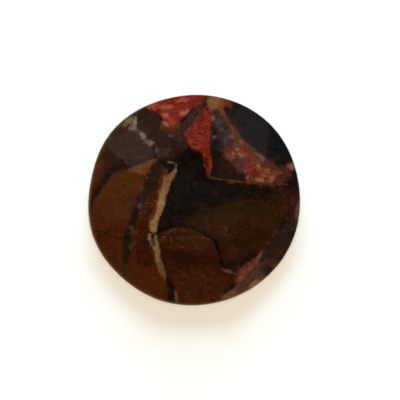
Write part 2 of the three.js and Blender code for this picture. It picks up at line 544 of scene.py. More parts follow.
paint("heart_gold", spots(
    (-1.3, 1.12, 0.22, 0.1, 0), (-0.45, 1.0, 0.12, 0.1, 0), (-1.0, 0.55, 0.12, 0.09, 0),
    (-0.7, -0.08, 0.12, 0.09, 30), (-1.5, 0.1, 0.2, 0.07, 0), (-0.3, -1.9, 0.15, 0.1, 0),
    (-0.9, -2.0, 0.07, 0.08, 0), (-1.65, -1.3, 0.08, 0.08, 0), (-2.7, -1.2, 0.18, 0.34, 10),
    (-2.1, 1.5, 0.1, 0.16, 15), (-2.2, 0.55, 0.08, 0.25, 15), (-2.4, 0.1, 0.08, 0.2, 10),
    (0.4, -1.0, 0.3, 0.1, 10), (1.6, -1.6, 0.3, 0.1, -40), (0.3, -2.75, 0.2, 0.08, -30)),
    ((24, 13, 1),), ragged=0.2, soft=0.12, strength=0.85)

# The wide fields round the heart: olive-brown on the right, brown on the left and towards the near side
paint("olive_field", inside([
    (0.6, -1.4), (1.8, -0.9), (3.2, -0.5), (5.0, 0.2), (7.0, 0.5), (9.0, 0.9), (11.5, 1.0), (12.0, -6.0),
    (6.0, -8.0), (2.6, -6.5), (2.3, -5.0), (2.0, -3.8), (1.2, -3.1), (0.3, -2.7), (-0.4, -2.4),
    (0.0, -1.7)]),
    ((35, 16, 3), (42, 20, 4)), ragged=1.1, soft=0.8)
paint("olive_depth", inside([
    (3.0, -1.6), (4.6, -1.0), (7.4, -0.9), (8.2, -2.0), (7.0, -3.6), (5.6, -4.8), (3.6, -4.6),
    (2.5, -3.4)]),
    ((45, 21, 4), (37, 18, 4)), mottle=PATCHY[2], ragged=0.8, soft=0.7, strength=0.6)
paint("olive_gold", spots(
    (3.3, -3.4, 0.25, 0.14, 20), (4.2, -1.5, 0.35, 0.15, -20), (5.9, -2.2, 0.4, 0.14, 30),
    (4.7, -3.6, 0.3, 0.15, -30), (6.4, -0.7, 0.35, 0.14, 10), (2.6, -1.7, 0.3, 0.12, 60),
    (7.4, -2.4, 0.25, 0.14, 50), (5.4, -4.3, 0.3, 0.12, 20), (2.75, -3.3, 0.12, 0.12, 0),
    (1.8, -2.45, 0.16, 0.12, 0), (1.35, -2.3, 0.14, 0.1, 0)),
    ((44, 25, 2),), ragged=0.4, soft=0.18, strength=0.7)
paint("olive_dusky", spots(
    (3.6, -2.5, 0.5, 0.2, 40), (5.2, -1.6, 0.4, 0.15, -30), (6.6, -3.1, 0.35, 0.18, 60),
    (4.3, -4.4, 0.4, 0.16, 10), (7.6, -0.2, 0.4, 0.16, 0), (6.1, 0.1, 0.5, 0.12, 10),
    (2.4, -2.9, 0.3, 0.14, 50)),
    ((30, 14, 7),), ragged=0.5, soft=0.2, strength=0.7)
paint("olive_red", spots(
    (3.5, -4.8, 0.75, 0.35, -20), (5.7, -2.0, 0.7, 0.25, -10), (2.85, -2.8, 0.35, 0.6, 0),
    (6.6, -3.9, 0.3, 0.2, 40), (4.3, -3.0, 0.4, 0.2, 30)),
    ((54, 22, 11),), mottle=FINE[0], ragged=0.6, soft=0.25, strength=0.5)
paint("right_rim_red", inside([
    (8.1, 0.7), (9.0, 0.9), (11.5, 0.8), (11.5, -1.4), (9.3, -1.0), (8.5, -1.6), (8.0, -0.6)]),
    ((48, 19, 8), (38, 16, 6)), ragged=0.4, soft=0.3)
paint("right_rim_spots", spots(
    (9.3, 0.0, 0.15, 0.55, 0), (8.15, 1.05, 0.25, 0.15, 0), (8.6, -0.7, 0.3, 0.2, 60)),
    ((62, 24, 16),), ragged=0.3, soft=0.2, strength=0.6)
paint("left_field", inside([
    (-11.5, -0.4), (-9.9, -0.1), (-9.2, 1.3), (-8.4, 2.5), (-7.2, 3.1), (-5.6, 3.2), (-4.6, 3.6),
    (-3.7, 3.9), (-3.1, 3.3), (-2.4, 2.5), (-2.7, 1.2), (-3.0, 0.0), (-3.5, -1.6), (-3.8, -2.8),
    (-3.6, -4.0), (-3.5, -5.2), (-3.2, -6.3), (-2.8, -7.2), (-2.5, -8.2), (-2.4, -11.5), (-8.0, -11.0),
    (-12.0, -6.0)]),
    ((68, 31, 9), (58, 25, 6)), mottle=BROAD[0], ragged=0.1)
paint("left_field_warm", inside([
    (-9.4, 0.2), (-8.2, 2.3), (-6.4, 2.7), (-5.0, 2.4), (-5.2, 1.2), (-6.0, 0.0), (-6.6, -1.4),
    (-8.6, -1.6)]),
    ((74, 38, 11), (64, 30, 9)), mottle=PATCHY[1], ragged=0.8, soft=0.5, strength=0.6)
paint("left_field_foot", inside([
    (-7.6, -6.2), (-5.8, -5.8), (-4.2, -6.4), (-3.0, -7.6), (-2.8, -9.6), (-5.5, -9.6), (-7.6, -8.4)]),
    ((74, 33, 10), (62, 26, 8)), mottle=PATCHY[2], ragged=0.8, soft=0.5, strength=0.8)
paint("left_field_red", spots(
    (-8.6, -0.9, 0.3, 0.55, 10), (-5.45, 1.3, 0.1, 0.6, 5), (-8.3, -2.4, 0.5, 0.2, 20),
    (-7.9, -4.9, 0.2, 0.3, 0), (-3.7, -7.8, 0.4, 0.35, 0), (-7.0, -2.6, 0.5, 0.2, -20),
    (-5.0, -7.6, 0.4, 0.3, 30), (-9.3, -2.4, 0.2, 0.3, 0)),
    ((78, 28, 14),), ragged=0.6, soft=0.25, strength=0.5)
paint("left_field_gold", spots(
    (-6.5, 2.0, 0.6, 0.35, 0), (-8.5, -5.0, 0.3, 0.6, 40), (-7.1, -0.4, 0.4, 0.25, 20),
    (-3.6, -8.75, 0.45, 0.14, 10), (-7.7, -4.25, 0.12, 0.14, 0), (-4.4, -4.4, 0.12, 0.12, 0),
    (-4.8, -5.65, 0.14, 0.12, 0), (-2.9, -8.4, 0.2, 0.14, 0), (-3.3, -9.05, 0.16, 0.12, 0),
    (-6.9, -5.2, 0.4, 0.2, 60), (-9.5, 2.3, 0.2, 0.6, -10)),
    ((68, 37, 2),), ragged=0.5, soft=0.22, strength=0.6)
paint("left_strip", inside([
    (-3.5, 2.3), (-3.0, 1.3), (-3.2, 0.3), (-3.5, -0.8), (-3.9, -2.0), (-4.1, -2.8), (-4.0, -3.6),
    (-3.9, -5.0), (-3.8, -6.0), (-4.6, -6.3), (-5.4, -5.6), (-5.5, -4.5), (-5.4, -3.0), (-5.1, -1.8),
    (-4.8, -0.5), (-4.3, 0.8), (-3.8, 1.8)]),
    ((52, 17, 5), (42, 12, 4)), ragged=0.4, soft=0.4, strength=0.85)
paint("bottom_field", inside([
    (-3.4, -3.2), (-2.6, -2.7), (-1.2, -2.5), (0.1, -2.75), (1.0, -3.3), (1.8, -3.8), (2.1, -4.6),
    (2.4, -5.5), (2.65, -6.5), (3.4, -6.9), (4.3, -7.2), (3.8, -8.0), (3.0, -9.0), (2.6, -11.5),
    (-2.3, -11.5), (-2.2, -9.0), (-2.4, -7.6), (-2.8, -7.1), (-3.1, -6.3), (-3.3, -5.4), (-3.5, -4.5)]),
    ((36, 12, 1), (53, 21, 5)), mottle=STREAKY[0], ragged=0.1)
paint("bottom_warm", inside([
    (-2.0, -7.0), (-0.6, -6.6), (1.4, -6.9), (3.2, -7.2), (3.2, -8.6), (2.4, -10.4), (-2.0, -10.4)]),
    ((70, 33, 14), (53, 24, 8)), mottle=PATCHY[1], ragged=0.9, soft=0.5, strength=0.85)
paint("bottom_dusky", spots((-0.9, -5.3, 1.1, 0.6, 10), (1.3, -4.6, 0.8, 0.5, 60)),
    ((34, 13, 4), (40, 15, 4)), ragged=0.4, soft=0.3, strength=0.6)
paint("bottom_gold", spots(
    (-1.5, -4.45, 0.35, 0.1, -10), (0.35, -4.5, 0.35, 0.12, 20), (1.2, -5.7, 0.15, 0.12, 0),
    (-0.3, -4.3, 0.3, 0.08, 0), (1.25, -4.3, 0.3, 0.25, 40), (-2.6, -5.75, 0.12, 0.12, 0),
    (-2.5, -6.2, 0.1, 0.1, 0), (0.9, -6.6, 0.14, 0.1, 0), (1.3, -6.75, 0.16, 0.1, -30),
    (-1.7, -6.2, 0.1, 0.1, 0), (-1.0, -6.25, 0.08, 0.12, 0), (-1.45, -9.5, 0.25, 0.14, 0),
    (-2.1, -3.8, 0.2, 0.08, 0), (-2.7, -3.3, 0.12, 0.1, 0), (0.3, -3.4, 0.14, 0.1, 0),
    (-0.2, -3.5, 0.14, 0.12, 0), (-1.4, -7.6, 0.12, 0.16, 0), (1.75, -6.1, 0.1, 0.2, 10),
    (-2.15, -7.35, 0.14, 0.3, 10)),
    ((52, 24, 1),), ragged=0.3, soft=0.14, strength=0.7)
paint("bottom_pink", spots(
    (-0.1, -6.35, 0.25, 0.35, 0), (-0.45, -7.5, 0.3, 0.2, 0), (-2.9, -4.0, 0.25, 0.5, 10),
    (0.6, -8.7, 0.35, 0.2, 20), (1.6, -6.3, 0.25, 0.3, 0), (-0.7, -9.2, 0.3, 0.2, 0)),
    ((56, 25, 15),), ragged=0.4, soft=0.22, strength=0.5)

# The far left: grey-brown beds, parted from the brown field by a dark band
paint("grey_field", inside([
    (-12.0, 3.2), (-9.4, 3.9), (-8.2, 4.5), (-7.3, 4.0), (-6.4, 3.8), (-5.6, 3.55), (-4.9, 3.65),
    (-4.2, 3.8), (-3.7, 4.2), (-3.9, 5.0), (-4.5, 5.8), (-5.2, 6.6), (-5.6, 7.6), (-6.2, 9.0),
    (-8.0, 11.0), (-12.0, 8.0)]),
    ((47, 27, 11), (39, 23, 13)), mottle=PATCHY[1], ragged=0.2, soft=0.12)
paint("grey_field_brown", inside([
    (-10.4, 2.4), (-8.9, 2.6), (-7.8, 3.0), (-6.6, 3.6), (-7.4, 4.2), (-8.0, 4.9), (-8.6, 5.5),
    (-10.0, 5.2)]),
    ((53, 27, 14), (44, 22, 11)), mottle=PATCHY[2], ragged=0.5, soft=0.5, strength=0.8)
paint("grey_field_mauve", spots(
    (-6.4, 3.65, 0.3, 0.12, 0), (-5.3, 5.9, 0.3, 0.2, 60), (-6.9, 6.0, 0.4, 0.25, 40),
    (-7.5, 5.0, 0.35, 0.2, 20)),
    ((50, 28, 20),), ragged=0.4, soft=0.2, strength=0.5)
paint("dark_bed", inside([
    (-5.4, 11.0), (-5.8, 8.6), (-5.5, 7.4), (-5.1, 6.6), (-4.5, 5.8), (-3.9, 5.0), (-3.6, 4.0),
    (-3.0, 3.7), (-2.3, 3.8), (-1.7, 4.0), (-0.9, 4.6), (-0.6, 5.2), (-0.9, 6.0), (-1.5, 6.5),
    (-2.2, 6.5), (-3.0, 6.8), (-3.2, 7.5), (-3.3, 8.2), (-4.0, 8.5), (-4.4, 9.0), (-4.4, 11.0)]),
    ((38, 19, 6), (31, 15, 5)), mottle=PATCHY[2], ragged=0.2, soft=0.12)
paint("dark_bed_grey", spots(
    (-2.7, 4.5, 0.55, 0.35, 20), (-1.5, 5.9, 0.35, 0.2, -30), (-2.2, 6.05, 0.35, 0.15, 5),
    (-3.5, 4.75, 0.13, 0.25, 0), (-3.3, 4.25, 0.1, 0.2, 20)),
    ((46, 30, 17), (54, 37, 27)), mottle=FINE[0], ragged=0.3, soft=0.16, strength=0.85)
paint("dark_bed_pale", spots(
    (-3.5, 4.7, 0.14, 0.3, 0), (-1.5, 5.86, 0.36, 0.24, -30), (-2.2, 6.0, 0.2, 0.15, 0)),
    ((70, 54, 45), (54, 38, 30)), mottle=FINE[0], ragged=0.25, soft=0.15, strength=0.9)
paint("dark_bed_purple", spots(
    (-2.05, 5.5, 0.45, 0.28, 10), (-1.5, 4.6, 0.35, 0.3, 40), (-4.6, 7.2, 0.2, 0.35, 10)),
    ((25, 10, 8), (29, 12, 12)), ragged=0.3, soft=0.2, strength=0.7)
paint("dark_slot", along([
    (-3.85, 5.05, 0.04), (-3.8, 4.6, 0.09), (-3.72, 4.1, 0.12), (-3.6, 3.95, 0.05)]),
    ((16, 9, 3),), ragged=0.1, soft=0.08)
paint("dark_bed_spots", spots(
    (-2.6, 4.95, 0.22, 0.1, -10), (-1.9, 4.9, 0.12, 0.1, 0), (-1.85, 5.75, 0.1, 0.14, 0)),
    ((20, 10, 4),), ragged=0.15, soft=0.1, strength=0.8)

# The far side: two red fragments, parted by a dusky seam with a pale edge
paint("dusky_seam", along([
    (1.5, 10.8, 0.5), (1.05, 9.5, 0.38), (0.6, 8.75, 0.34), (0.0, 8.05, 0.36), (-0.55, 7.4, 0.36),
    (-0.95, 6.8, 0.38), (-1.3, 6.2, 0.4), (-1.7, 5.7, 0.25)]),
    ((40, 18, 6), (49, 25, 17)), ragged=0.15, soft=0.1)
paint("dusky_seam_red", spots((0.55, 8.75, 0.35, 0.3, 40)),
    ((64, 27, 17),), ragged=0.3, soft=0.2, strength=0.75)
paint("red_left", inside([
    (-4.6, 11.0), (-4.3, 8.8), (-3.7, 8.45), (-3.2, 8.2), (-3.0, 7.5), (-3.1, 6.95), (-2.6, 6.75),
    (-2.0, 6.5), (-1.6, 6.8), (-1.3, 7.35), (-1.1, 7.85), (-0.7, 8.2), (-0.2, 8.55), (0.3, 8.9),
    (0.85, 9.5), (1.2, 11.0)]),
    ((90, 17, 5), (108, 32, 15)), mottle=FINE[1], ragged=0.3, soft=0.12)
paint("red_left_pink", spots(
    (-2.6, 8.72, 0.75, 0.2, 3), (-3.9, 8.9, 0.5, 0.25, 12), (-2.7, 7.9, 0.35, 0.2, -15),
    (-1.0, 8.2, 0.5, 0.12, 35), (-1.1, 9.4, 0.6, 0.2, 5)),
    ((166, 74, 58), (134, 52, 34)), mottle=FINE[0], ragged=0.45, soft=0.18, strength=0.85)
paint("red_left_orange", spots((-2.1, 7.35, 0.45, 0.3, -60)),
    ((128, 54, 28), (112, 40, 18)), mottle=FINE[1], ragged=0.3, soft=0.15, strength=0.85)
paint("red_left_pale", spots((-2.65, 7.1, 0.4, 0.16, -50), (-0.75, 8.25, 0.35, 0.07, 35)),
    ((142, 84, 60),), ragged=0.15, soft=0.12, strength=0.8)
paint("red_left_olive", spots(
    (-2.5, 9.12, 0.6, 0.1, 2), (-2.7, 8.38, 0.8, 0.08, 4), (-3.0, 6.8, 0.2, 0.1, 30)),
    ((82, 34, 6),), ragged=0.15, soft=0.1, strength=0.8)
paint("red_left_foot", inside([
    (-3.2, 7.0), (-2.5, 6.95), (-2.0, 6.95), (-1.5, 7.2), (-1.2, 7.4), (-1.4, 6.7), (-1.9, 6.3),
    (-2.8, 6.4)]),
    ((74, 29, 9), (60, 25, 9)), ragged=0.2, soft=0.15, strength=0.85)
paint("red_right", inside([
    (1.7, 8.6), (1.1, 8.4), (0.6, 8.0), (0.15, 7.4), (-0.25, 6.9), (-0.7, 6.3), (-0.85, 5.9), (-0.5, 5.2),
    (-0.1, 4.8), (0.5, 4.45), (0.85, 4.1), (0.95, 3.6), (1.05, 3.1), (1.15, 2.6), (1.35, 2.25),
    (1.68, 2.9), (1.68, 3.8), (1.5, 4.6), (1.5, 5.5), (1.6, 6.5), (1.7, 7.3), (1.85, 8.0)]),
    ((76, 6, 0), (112, 28, 7)), mottle=FINE[1], ragged=0.25, soft=0.1)
paint("red_right_bright", spots(
    (0.6, 7.35, 0.35, 0.3, 60), (-0.35, 6.0, 0.3, 0.2, 80), (1.1, 4.5, 0.4, 0.3, -35)),
    ((80, 8, 0),), ragged=0.3, soft=0.2, strength=0.6)
paint("red_right_pale", spots(
    (0.1, 6.9, 0.5, 0.1, 50), (-0.4, 5.5, 0.35, 0.1, -70), (0.2, 4.9, 0.45, 0.1, -15),
    (1.3, 7.2, 0.25, 0.12, 30), (0.5, 5.9, 0.3, 0.12, -40), (1.55, 3.3, 0.12, 0.45, 5),
    (1.42, 2.65, 0.14, 0.25, -5)),
    ((108, 53, 33), (93, 38, 20)), mottle=FINE[0], ragged=0.25, soft=0.12, strength=0.7)
paint("red_right_dark", spots(
    (0.05, 4.6, 0.25, 0.12, 20), (1.14, 3.55, 0.2, 0.5, 3), (1.3, 2.6, 0.08, 0.2, 10)),
    ((44, 7, 1), (54, 12, 2)), ragged=0.2, soft=0.12, strength=0.9)
paint("seam_pale_edge", along([
    (1.45, 9.1, 0.06), (1.1, 8.7, 0.07), (0.65, 8.2, 0.08), (0.25, 7.7, 0.07), (-0.2, 7.1, 0.08),
    (-0.6, 6.5, 0.07), (-0.9, 6.05, 0.04)]),
    ((94, 48, 28),), ragged=0.08, soft=0.09, strength=0.6)

# Between the right-hand red fragment and the orange seam: a dusky wedge and a pink speckled fragment
paint("wedge", inside([
    (1.95, 8.6), (2.5, 7.8), (3.0, 7.1), (3.4, 6.3), (3.5, 5.6), (3.2, 5.0), (2.9, 4.3), (2.8, 3.6),
    (2.4, 2.15), (1.6, 2.15), (1.8, 3.0), (1.8, 3.8), (1.6, 4.6), (1.6, 5.5), (1.7, 6.5), (1.8, 7.3),
    (1.9, 8.1)]),
    ((42, 22, 18), (50, 31, 26)), mottle=PATCHY[2], ragged=0.15, soft=0.1)
paint("wedge_dark", inside([
    (1.7, 6.9), (2.1, 6.7), (2.2, 5.8), (2.7, 5.3), (2.9, 4.4), (2.8, 3.5), (2.5, 2.1), (1.6, 2.1),
    (1.8, 3.2), (1.7, 4.2), (1.55, 5.0), (1.7, 5.8)]),
    ((14, 6, 3), (19, 8, 5)), ragged=0.3, soft=0.2)
paint("wedge_purple", spots(
    (2.38, 3.95, 0.25, 0.15, 10), (2.5, 4.95, 0.22, 0.4, 0), (2.1, 2.6, 0.25, 0.25, 0)),
    ((34, 7, 12), (28, 12, 14)), ragged=0.2, soft=0.15, strength=0.75)
paint("wedge_pale", spots(
    (2.25, 7.2, 0.12, 0.28, -30), (3.0, 5.6, 0.3, 0.22, 0), (2.6, 6.6, 0.14, 0.2, 0)),
    ((70, 52, 45), (58, 42, 36)), mottle=FINE[0], ragged=0.25, soft=0.12, strength=0.85)
paint("wedge_olive", spots((1.72, 2.4, 0.12, 0.3, 0), (1.75, 5.2, 0.1, 0.3, 0)),
    ((22, 14, 2),), ragged=0.2, soft=0.1, strength=0.8)
paint("pink_fragment", inside([
    (2.8, 4.2), (3.1, 4.9), (3.6, 5.4), (4.1, 5.9), (4.9, 5.1), (5.6, 4.4), (6.3, 3.9), (6.9, 3.5),
    (7.4, 3.1), (7.9, 2.8), (8.5, 2.9), (9.0, 2.8), (8.6, 2.0), (8.0, 1.6), (7.0, 1.45), (6.0, 1.6),
    (5.0, 1.65), (4.75, 2.3), (4.3, 2.5), (3.9, 3.0), (3.3, 3.5), (2.9, 3.9)]),
    ((72, 18, 8), (112, 56, 38)), mottle=FINE[2], ragged=0.45, soft=0.3)
paint("pink_brown", spots(
    (3.4, 4.9, 0.6, 0.3, 50), (4.0, 5.2, 0.5, 0.2, -35), (4.6, 3.6, 0.3, 0.25, 60),
    (6.3, 3.25, 0.5, 0.22, -20), (8.45, 2.4, 0.75, 0.6, 0), (7.95, 2.0, 0.5, 0.4, 0),
    (7.6, 2.85, 0.4, 0.3, 0), (4.9, 1.95, 0.3, 0.2, 0)),
    ((58, 27, 13), (48, 21, 10)), ragged=0.5, soft=0.25, strength=0.85)
paint("pink_gold", spots(
    (7.65, 2.6, 0.2, 0.25, 0), (5.65, 1.93, 0.5, 0.12, 0), (6.3, 2.9, 0.3, 0.2, -40)),
    ((110, 60, 22),), ragged=0.3, soft=0.16, strength=0.75)
paint("pink_mauve", spots(
    (4.0, 3.75, 0.3, 0.45, 20), (4.45, 3.2, 0.35, 0.3, 0), (3.3, 5.5, 0.3, 0.3, 0),
    (3.7, 3.25, 0.8, 0.22, -42)),
    ((44, 17, 11), (54, 24, 18)), ragged=0.4, soft=0.22, strength=0.85)
paint("pink_red", spots(
    (5.3, 2.95, 0.55, 0.42, -40), (5.7, 2.45, 0.3, 0.42, 10), (5.15, 3.6, 0.5, 0.32, 20),
    (4.75, 4.6, 0.4, 0.14, -40)),
    ((84, 6, 0), (104, 30, 19)), mottle=FINE[0], ragged=0.4, soft=0.18, strength=0.88)
paint("pink_pale", spots(
    (3.65, 4.3, 0.2, 0.17, 0), (4.4, 4.2, 0.2, 0.1, -40), (4.1, 4.75, 0.12, 0.1, 0),
    (6.1, 1.83, 0.4, 0.22, -15), (6.5, 2.25, 0.25, 0.15, 20), (7.35, 2.1, 0.32, 0.27, 10),
    (6.9, 2.75, 0.25, 0.14, -40), (6.05, 3.2, 0.15, 0.2, 0), (5.0, 2.05, 0.12, 0.2, 0),
    (8.1, 2.6, 0.2, 0.1, 10)),
    ((138, 94, 74), (116, 68, 50)), mottle=FINE[0], ragged=0.3, soft=0.14, strength=0.88)
paint("brown_triangle", inside([
    (2.7, 3.95), (3.2, 3.6), (3.7, 3.05), (4.2, 2.6), (4.7, 2.25), (4.6, 1.95), (3.4, 2.1), (2.0, 2.2),
    (2.3, 3.0)]),
    ((30, 10, 4), (44, 18, 7)), mottle=FINE[1], ragged=0.5, soft=0.3)
paint("triangle_dark", spots(
    (2.85, 2.8, 0.3, 0.2, 20), (2.15, 2.5, 0.4, 0.35, 0), (4.3, 2.5, 0.25, 0.2, 0),
    (3.6, 2.9, 0.3, 0.1, -45), (3.6, 2.3, 0.4, 0.12, 0)),
    ((15, 5, 3), (24, 9, 7)), ragged=0.4, soft=0.2, strength=0.8)
paint("triangle_slate", spots((4.5, 2.3, 0.2, 0.22, 0)),
    ((12, 9, 7),), ragged=0.1, soft=0.1, strength=0.95)
paint("triangle_grey", spots((4.15, 2.78, 0.12, 0.1, 0), (3.3, 3.75, 0.35, 0.06, -40)),
    ((72, 46, 46), (32, 24, 20)), mottle=FINE[0], ragged=0.1, soft=0.08, strength=0.8)

# The far right: a slate-dark field behind the orange seam, which runs from the far rim to the right
paint("slate_field", inside([
    (3.35, 8.9), (3.3, 8.0), (3.65, 7.5), (3.9, 7.0), (4.35, 6.5), (4.75, 6.0), (5.0, 5.5), (5.45, 5.0),
    (5.95, 4.7), (6.5, 4.25), (7.1, 3.75), (7.8, 3.35), (8.4, 3.4), (8.9, 3.6), (9.4, 3.9), (12.5, 5.0),
    (12.0, 9.0), (6.0, 12.5), (3.5, 12.0)]),
    ((12, 10, 6), (18, 13, 11)), mottle=PATCHY[1], ragged=0.18, soft=0.12)
paint("slate_red", spots(
    (5.3, 6.5, 0.4, 0.3, 70), (7.0, 6.0, 0.5, 0.3, 70), (5.4, 5.4, 0.35, 0.25, 0),
    (7.1, 4.2, 0.4, 0.2, 10), (6.0, 7.0, 0.3, 0.15, 0), (8.5, 4.4, 0.5, 0.3, 50)),
    ((24, 12, 9),), ragged=0.5, soft=0.3, strength=0.6)
paint("seam_shade", along([
    (3.25, 8.2, 0.12), (3.6, 7.45, 0.14), (4.0, 6.9, 0.18), (4.5, 6.3, 0.2), (4.9, 5.65, 0.2),
    (5.3, 5.1, 0.14), (5.9, 4.7, 0.08)]),
    ((36, 21, 13), (30, 16, 11)), mottle=PATCHY[1], ragged=0.3, soft=0.25, strength=0.5)
paint("orange_seam", along([
    (2.35, 8.7, 0.2), (2.65, 8.15, 0.24), (3.0, 7.5, 0.25), (3.4, 6.9, 0.27), (3.85, 6.3, 0.3),
    (4.25, 5.75, 0.3), (4.95, 5.05, 0.26), (5.6, 4.55, 0.24), (6.1, 4.15, 0.24), (6.6, 3.8, 0.22),
    (7.1, 3.45, 0.2), (7.5, 3.1, 0.22), (8.1, 2.95, 0.2), (8.6, 3.05, 0.2), (9.1, 3.2, 0.3),
    (9.8, 3.25, 0.35), (11.5, 3.4, 0.35)]),
    ((78, 41, 22), (60, 30, 16)), mottle=PATCHY[2], ragged=0.3, soft=0.16)
paint("seam_red", spots((2.7, 8.1, 0.5, 0.12, -60), (3.6, 6.7, 0.4, 0.12, -50)),
    ((92, 44, 30),), ragged=0.3, soft=0.2, strength=0.6)
paint("seam_pale", spots(
    (3.5, 5.95, 0.25, 0.15, -50), (5.9, 4.2, 0.3, 0.1, -35), (4.45, 5.45, 0.3, 0.14, -50)),
    ((106, 67, 43), (96, 56, 32)), mottle=FINE[0], ragged=0.15, soft=0.12, strength=0.85)
paint("seam_cream", spots((9.1, 3.15, 0.35, 0.28, 10), (6.3, 4.0, 0.25, 0.12, -35)),
    ((126, 84, 58), (104, 62, 38)), mottle=FINE[0], ragged=0.3, soft=0.2, strength=0.85)
paint("seam_olive", spots((2.12, 8.15, 0.28, 0.2, 80), (1.6, 8.5, 0.2, 0.12, 0)),
    ((48, 24, 2),), ragged=0.2, soft=0.12, strength=0.8)
paint("seam_dull", spots((8.2, 3.05, 0.4, 0.16, 0), (4.45, 6.6, 0.14, 0.14, 0)),
    ((42, 20, 14),), ragged=0.2, soft=0.12, strength=0.8)
paint("tan_patch", inside([
    (1.35, 9.0), (1.55, 8.5), (1.95, 8.5), (2.4, 8.6), (2.75, 9.0), (2.8, 9.6), (2.7, 11.0),
    (1.5, 11.0)]),
    ((122, 76, 45), (108, 60, 32)), mottle=PATCHY[1], ragged=0.4, soft=0.25)
paint("tan_orange", spots((3.0, 9.15, 0.55, 0.35, -20), (2.6, 8.6, 0.25, 0.4, 20)),
    ((116, 50, 12), (90, 38, 10)), mottle=PATCHY[2], ragged=0.4, soft=0.3, strength=0.8)

# The thin orange line that closes the pink fragment on its near side
paint("line_shades", spots(
    (5.2, 1.15, 0.5, 0.18, 0), (7.0, 1.0, 0.3, 0.18, 0), (3.0, 1.2, 0.25, 0.2, 20)),
    ((17, 13, 12), (22, 17, 15)), mottle=PATCHY[1], ragged=0.2, soft=0.18, strength=0.55)
paint("line_warm", spots((7.45, 1.1, 0.2, 0.12, 0), (6.3, 1.3, 0.3, 0.1, 0), (4.4, 1.4, 0.3, 0.08, 0)),
    ((44, 24, 4),), ragged=0.2, soft=0.12, strength=0.7)
paint("thin_line", along([
    (1.35, 2.15, 0.05), (2.1, 1.98, 0.07), (3.0, 1.88, 0.09), (4.0, 1.75, 0.09), (5.0, 1.66, 0.1),
    (6.0, 1.6, 0.12), (7.0, 1.48, 0.1), (8.3, 1.5, 0.08), (8.8, 1.45, 0.04)]),
    ((80, 41, 19), (62, 30, 13)), ragged=0.05, soft=0.07)
paint("thin_line_gold", spots((3.4, 1.62, 0.5, 0.07, -6), (5.5, 1.85, 0.35, 0.1, 0)),
    ((80, 36, 5),), ragged=0.05, soft=0.07, strength=0.85)

# The near right: a mauve-brown band at the rim with a pink streak along its inner side
paint("mauve_band", inside([
    (12.0, -1.2), (9.9, -1.3), (9.2, -1.5), (8.5, -2.0), (8.0, -2.6), (7.4, -3.8), (6.7, -4.9),
    (6.1, -5.8), (5.4, -6.6), (4.7, -7.4), (3.9, -8.0), (3.0, -8.7), (2.4, -11.5), (8.0, -11.0),
    (12.0, -6.0)]),
    ((44, 24, 15), (36, 20, 11)), mottle=PATCHY[2], ragged=0.5, soft=0.3)
paint("mauve_warm", spots(
    (7.7, -5.3, 0.5, 0.35, 45), (8.5, -4.4, 0.4, 0.5, -20), (7.9, -3.6, 0.15, 0.4, -20)),
    ((44, 22, 8),), ragged=0.5, soft=0.25, strength=0.7)
paint("mauve_pale", spots(
    (6.8, -5.95, 0.5, 0.4, 40), (6.25, -6.1, 0.25, 0.4, -40), (5.4, -6.85, 0.7, 0.4, 50)),
    ((68, 43, 32),), ragged=0.3, soft=0.25, strength=0.8)
paint("mauve_lilac", spots(
    (7.65, -4.45, 0.25, 0.5, -20), (8.6, -3.2, 0.4, 0.6, -20), (9.0, -2.4, 0.3, 0.3, 0)),
    ((38, 26, 23), (30, 19, 15)), mottle=PATCHY[1], ragged=0.3, soft=0.2, strength=0.75)
paint("mauve_light", inside([
    (6.3, -6.2), (5.6, -6.6), (4.9, -7.3), (4.1, -8.0), (3.2, -8.6), (2.6, -9.4), (2.6, -11.0),
    (6.4, -9.0), (6.7, -7.2)]),
    ((78, 50, 34), (71, 42, 32)), ragged=0.3, soft=0.2)
paint("mauve_rim", spots(
    (5.9, -7.8, 0.8, 0.25, 38), (3.2, -9.1, 0.6, 0.4, 20), (3.65, -8.7, 0.35, 0.3, 0)),
    ((114, 84, 58), (90, 68, 52)), mottle=FINE[0], ragged=0.25, soft=0.2, strength=0.75)
paint("mauve_rim_orange", spots((5.65, -8.0, 0.5, 0.24, 35)),
    ((158, 108, 68), (130, 84, 50)), mottle=FINE[0], ragged=0.25, soft=0.2, strength=0.85)
paint("mauve_orange", spots(
    (7.5, -5.85, 0.5, 0.3, 40), (7.45, -3.2, 0.35, 0.2, 60), (8.1, -4.95, 0.35, 0.2, 50)),
    ((74, 37, 12), (60, 29, 9)), ragged=0.35, soft=0.22, strength=0.8)
paint("mauve_gold", spots(
    (9.0, -3.9, 0.14, 0.25, -20), (8.6, -4.7, 0.14, 0.2, -20), (9.8, 0.3, 0.1, 0.4, 0),
    (6.4, -6.5, 0.3, 0.14, 20)),
    ((50, 32, 4),), ragged=0.2, soft=0.15, strength=0.75)
paint("mauve_green", spots((9.35, -2.6, 0.22, 0.4, -20), (8.75, -1.9, 0.2, 0.14, 0)),
    ((44, 35, 22),), ragged=0.3, soft=0.16, strength=0.8)
paint("mauve_tan", spots((7.5, -6.2, 0.25, 0.2, 0), (9.75, -1.1, 0.22, 0.9, -7)),
    ((82, 64, 45), (74, 48, 28)), mottle=BROAD[1], ragged=0.15, soft=0.14, strength=0.85)
paint("mauve_dark", spots(
    (7.0, -6.5, 0.3, 0.25, 40), (9.2, -3.3, 0.35, 0.2, 60), (8.2, -5.4, 0.5, 0.2, 50)),
    ((14, 7, 3), (20, 11, 5)), ragged=0.35, soft=0.2, strength=0.7)
paint("mauve_dark_upper", spots((8.15, -2.45, 0.5, 0.26, 60), (8.6, -2.0, 0.3, 0.22, 0)),
    ((12, 6, 3),), ragged=0.3, soft=0.16, strength=0.85)
